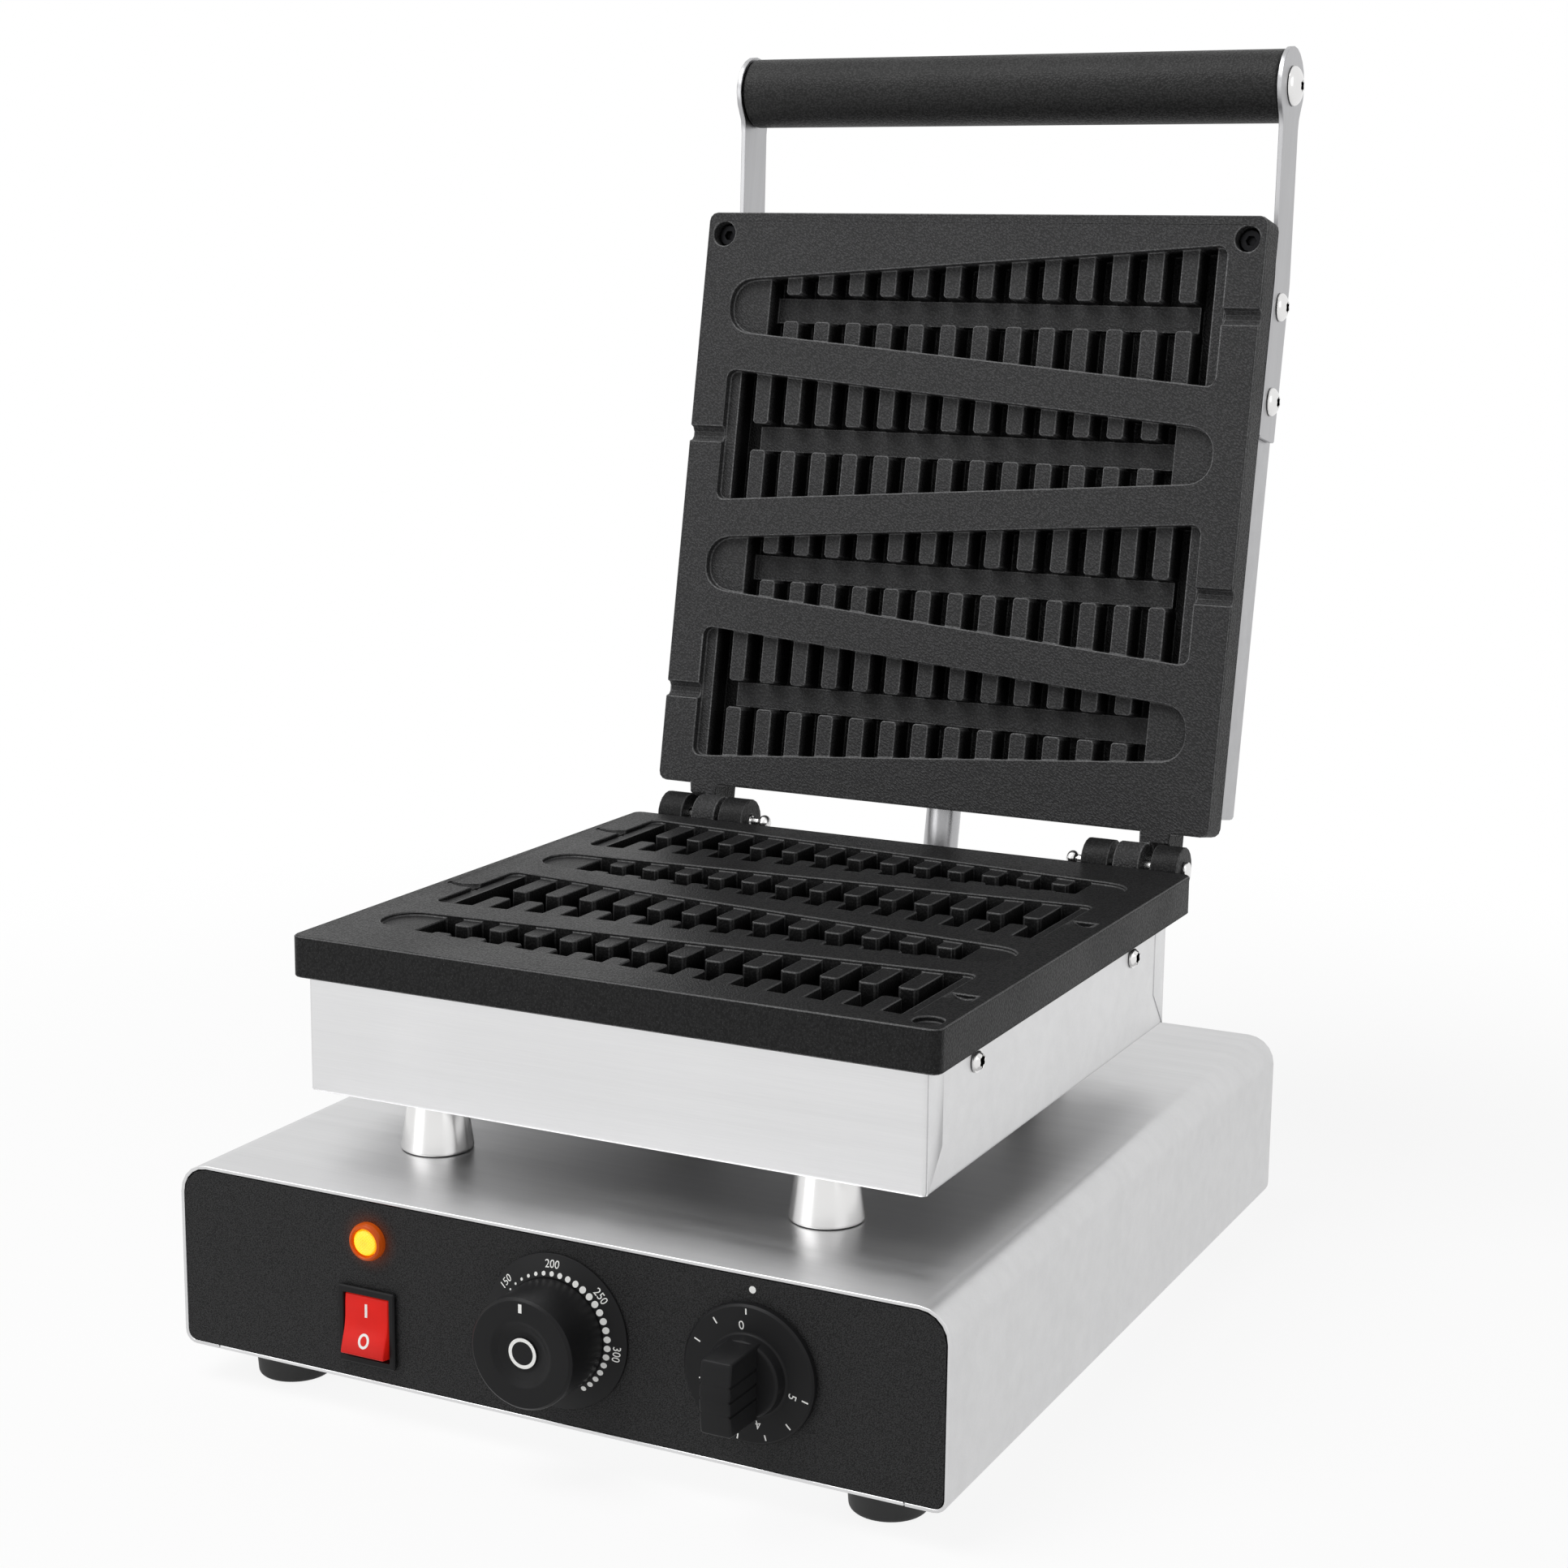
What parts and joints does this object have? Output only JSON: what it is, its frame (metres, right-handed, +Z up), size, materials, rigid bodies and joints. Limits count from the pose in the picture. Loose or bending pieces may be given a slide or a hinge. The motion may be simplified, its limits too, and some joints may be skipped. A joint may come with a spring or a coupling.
{
  "type": "waffle iron",
  "caption": "Countertop iron for tree shaped waffles on sticks: hinged lid with a bar handle over a heated plate, on a steel base with a switch, pilot lamp, thermostat and timer.",
  "frame": {"origin": "middle of the footprint's bounding box, at the height of the surface that the rubber feet stand on", "axes": "+Z up, controls face -Y, +X to the right as seen from the controls; the lid stands open at rest"},
  "size_m": [0.282, 0.4069, 0.4575],
  "materials": {
    "steel": "brushed stainless steel sheet",
    "bright_steel": "bright turned steel",
    "cast": "black coated casting with a fine leather grain",
    "panel": "satin black film with a fine grain",
    "black_plastic": "satin black moulding",
    "grip": "black heat resistant moulding with a leather grain",
    "rubber": "matt black rubber",
    "red_rocker": "translucent red, lit from inside",
    "amber": "lit amber lens with a cross hatch",
    "orange": "translucent orange ring",
    "ivory_plastic": "plain electrical moulding",
    "element": "darkened steel tube"
  },
  "bodies": {
    "base": {"base_cover": "steel", "bottom_plate": "steel", "cable_gland": "black_plastic", "casing_screw_front_left": "bright_steel", "casing_screw_front_right": "bright_steel", "casing_screw_rear_left": "bright_steel", "casing_screw_rear_right": "bright_steel", "foot_front_left": "rubber", "foot_front_right": "rubber", "foot_rear_left": "rubber", "foot_rear_right": "rubber", "front_panel": "panel", "hinge_pin_left": "bright_steel", "hinge_pin_right": "bright_steel", "lamp_bezel": "orange", "lamp_body": "black_plastic", "lamp_lens": "amber", "lid_cable_gland": "black_plastic", "lower_casing": "steel", "lower_heater": "element", "lower_plate": "cast", "post_front_left": "bright_steel", "post_front_right": "bright_steel", "post_rear_left": "bright_steel", "post_rear_right": "bright_steel", "rear_panel": "steel", "switch_housing": "black_plastic", "terminal_block": "ivory_plastic", "thermostat_body": "ivory_plastic", "thermostat_dial_ring": "black_plastic", "timer_body": "bright_steel"},
    "lid": {"upper_plate": "cast", "upper_casing": "steel", "upper_heater": "element", "handle_grip": "grip", "handle_rod": "bright_steel", "lid_conduit": "steel", "conduit_nut": "bright_steel", "arm_screw_high_left": "bright_steel", "arm_screw_high_right": "bright_steel", "arm_screw_low_left": "bright_steel", "arm_screw_low_right": "bright_steel", "arm_strip_left": "steel", "arm_strip_right": "steel", "handle_arm_left": "steel", "handle_arm_right": "steel", "handle_end_screw_left": "bright_steel", "handle_end_screw_right": "bright_steel", "plate_screw_left": "bright_steel", "plate_screw_right": "bright_steel"},
    "rocker": {"switch_rocker": "red_rocker"},
    "thermostat_dial": {"thermostat_knob": "black_plastic", "thermostat_shaft": "bright_steel"},
    "timer_dial": {"timer_knob": "black_plastic", "timer_shaft": "bright_steel"}
  },
  "joints": [
    {"name": "lid_hinge", "type": "hinge", "parent": "base", "child": "lid", "pos_m": [0, 0.10704, 0.1478], "axis": [1, 0, 0], "range_deg": [0, 100.64]},
    {"name": "power_switch", "type": "hinge", "parent": "base", "child": "rocker", "pos_m": [-0.0652, -0.17776, 0.0328], "axis": [1, 0, 0], "range_deg": [0, 20]},
    {"name": "thermostat_turn", "type": "hinge", "parent": "base", "child": "thermostat_dial", "pos_m": [0.0068, -0.17876, 0.0452], "axis": [0, 1, 0], "range_deg": [-62, 146]},
    {"name": "timer_turn", "type": "hinge", "parent": "base", "child": "timer_dial", "pos_m": [0.0756, -0.17876, 0.0452], "axis": [0, 1, 0], "range_deg": [0, 254]}
  ]
}
